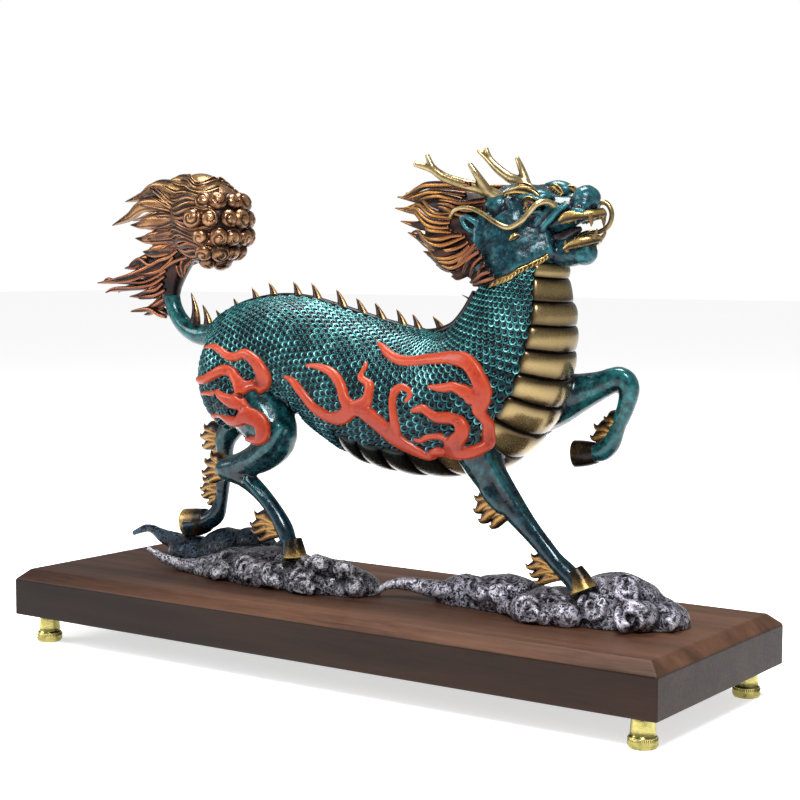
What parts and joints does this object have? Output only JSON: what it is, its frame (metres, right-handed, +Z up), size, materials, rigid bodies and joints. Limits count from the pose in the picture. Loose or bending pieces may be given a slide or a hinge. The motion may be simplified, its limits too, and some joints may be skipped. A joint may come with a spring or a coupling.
{
  "type": "qilin ornament",
  "caption": "Cast qilin striding over clouds, with flames, scales, horns and a curled tail, on a chamfered walnut board with turned brass feet",
  "frame": {"origin": "centre of the board on the plane the feet stand on", "axes": "+X runs along the board toward the head, +Y across the board toward the side of the raised foreleg, +Z up"},
  "size_m": [0.42, 0.1456, 0.2875],
  "materials": {
    "patinated_bronze": "blue-green patina over cast bronze, satin",
    "antique_silver": "antique silver over a rough casting, dark in the hollows",
    "walnut": "satin walnut stain",
    "brass": "turned brass, knurled collar"
  },
  "bodies": {
    "root": {"qilin": "patinated_bronze", "rear_cloud": "antique_silver", "front_cloud": "antique_silver", "board": "walnut", "foot_front_near": "brass", "foot_front_far": "brass", "foot_rear_near": "brass", "foot_rear_far": "brass"}
  },
  "joints": []
}
